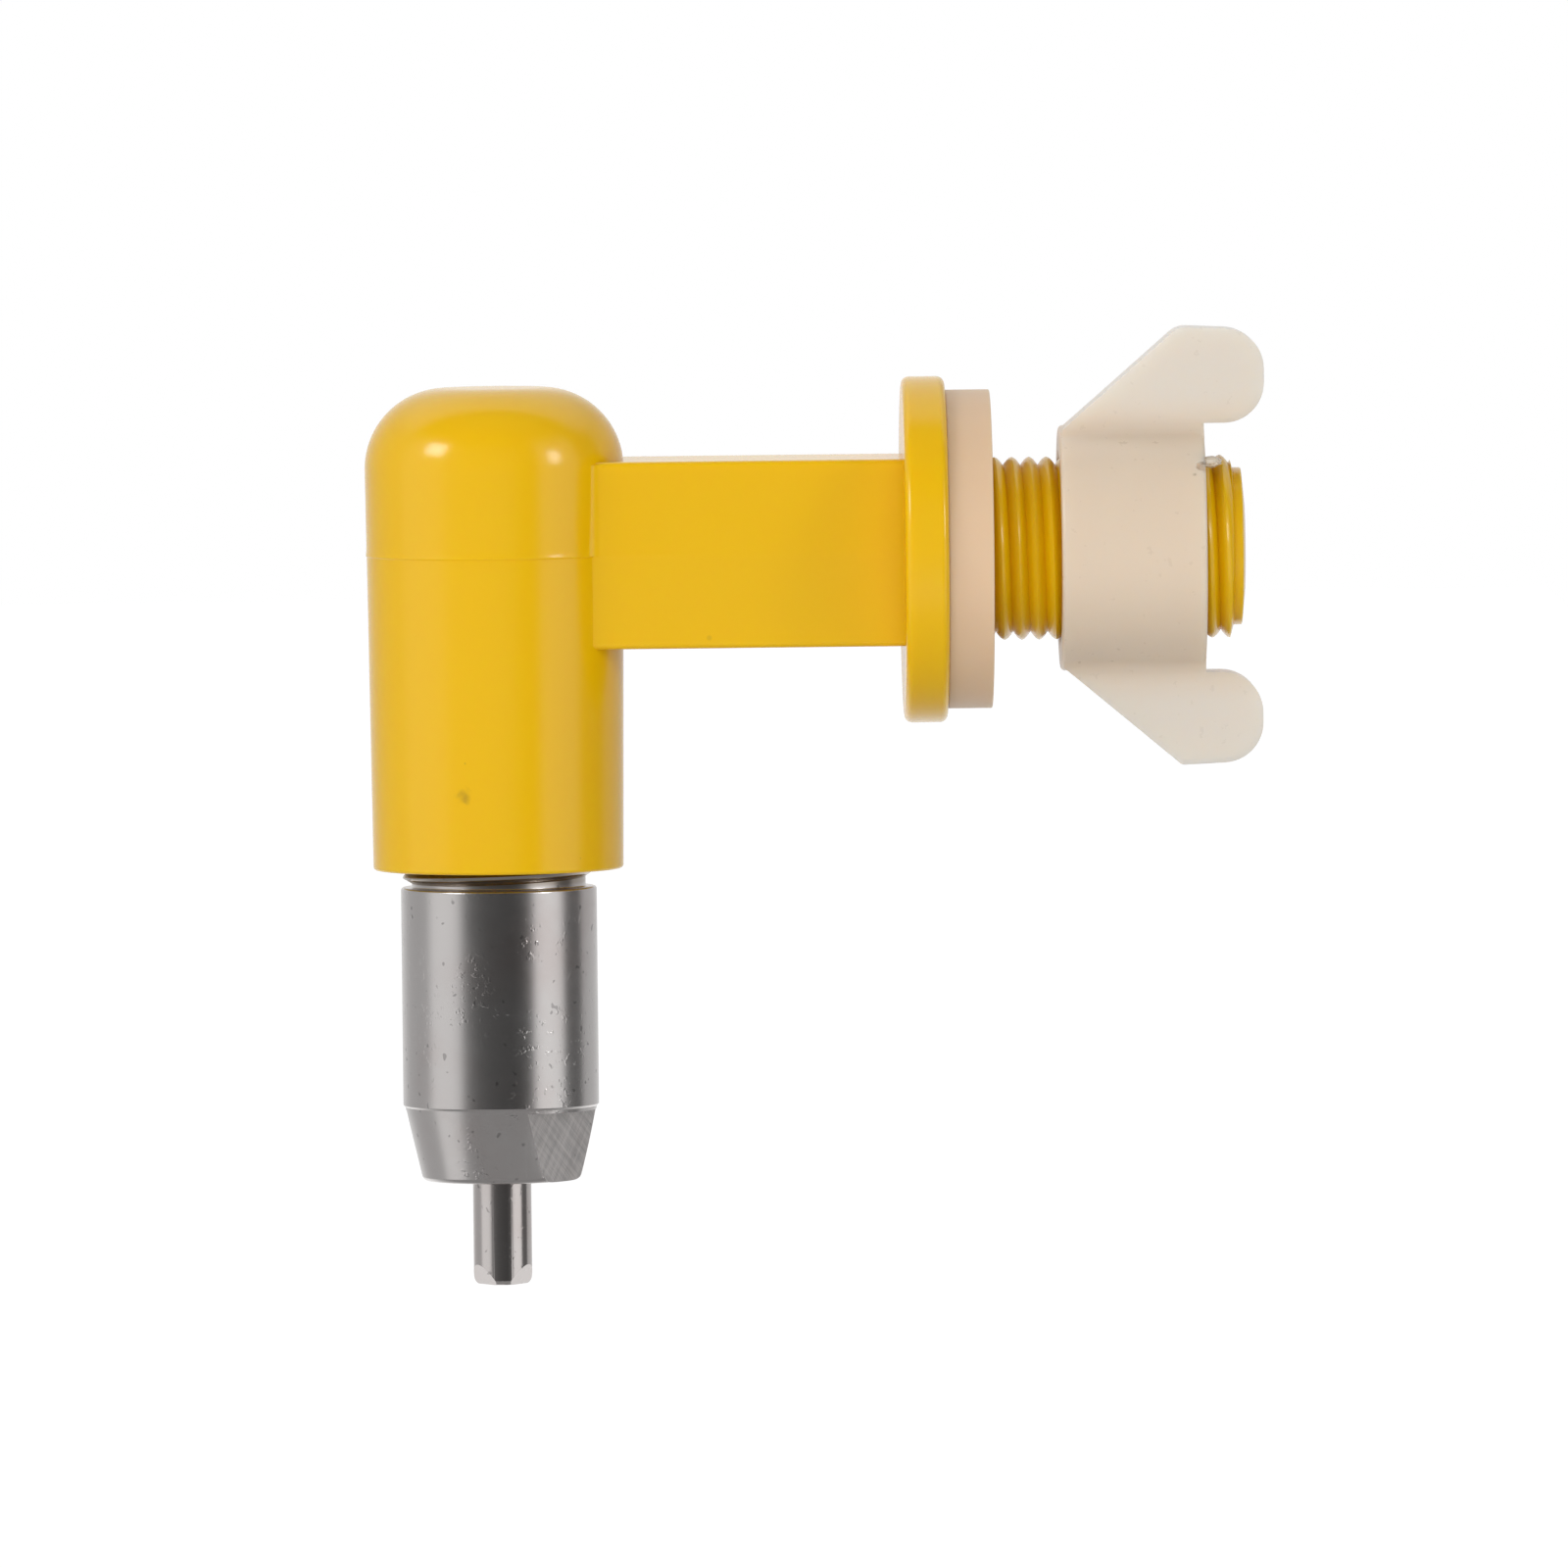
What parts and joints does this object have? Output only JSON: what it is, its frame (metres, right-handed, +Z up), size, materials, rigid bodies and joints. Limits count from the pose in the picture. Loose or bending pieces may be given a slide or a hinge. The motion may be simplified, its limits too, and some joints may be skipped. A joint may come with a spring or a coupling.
{
  "type": "poultry nipple drinker",
  "caption": "Right-angle poultry nipple drinker: yellow elbow with a flanged threaded spigot, washer and wing nut, and a stainless nipple with a loose trigger pin.",
  "frame": {"origin": "on the spigot's axis, in the flange's sealing face", "axes": "+X along the spigot, out of the flange and through the tank wall; +Z up, so the nipple hangs down -Z"},
  "size_m": [0.0491, 0.0188, 0.052],
  "materials": {
    "yellow_plastic": "glossy moulded",
    "soft_washer": "satin",
    "natural_nylon": "satin, milky",
    "turned_steel": "turned",
    "polished_steel": "polished",
    "stem_steel": "turned",
    "white_acetal": "satin",
    "seal_rubber": "matte"
  },
  "bodies": {
    "drinker": {"elbow_housing": "yellow_plastic", "flange_washer": "soft_washer", "nipple_barrel": "turned_steel", "barrel_gasket": "seal_rubber", "barrel_cap": "white_acetal", "seat_seal": "seal_rubber", "valve_seat": "white_acetal"},
    "nut": {"wing_nut": "natural_nylon"},
    "pin": {"trigger_pin": "polished_steel"},
    "stem": {"valve_stem": "stem_steel"}
  },
  "joints": [
    {"name": "nut_travel", "type": "slide", "parent": "drinker", "child": "nut", "axis": [1, 0, 0], "range_m": [-0.00375, 0.0101]},
    {"name": "trigger_tilt", "type": "hinge", "parent": "drinker", "child": "pin", "pos_m": [-0.02735, 0, -0.0297], "axis": [0, -1, 0], "range_deg": [0, 9]},
    {"name": "stem_lift", "type": "slide", "parent": "drinker", "child": "stem", "axis": [0, 0, 1], "range_m": [0, 0.00045]}
  ],
  "couplings": [
    {"joint": "trigger_tilt", "follows": "stem_lift", "rad_per_m": 349}
  ]
}
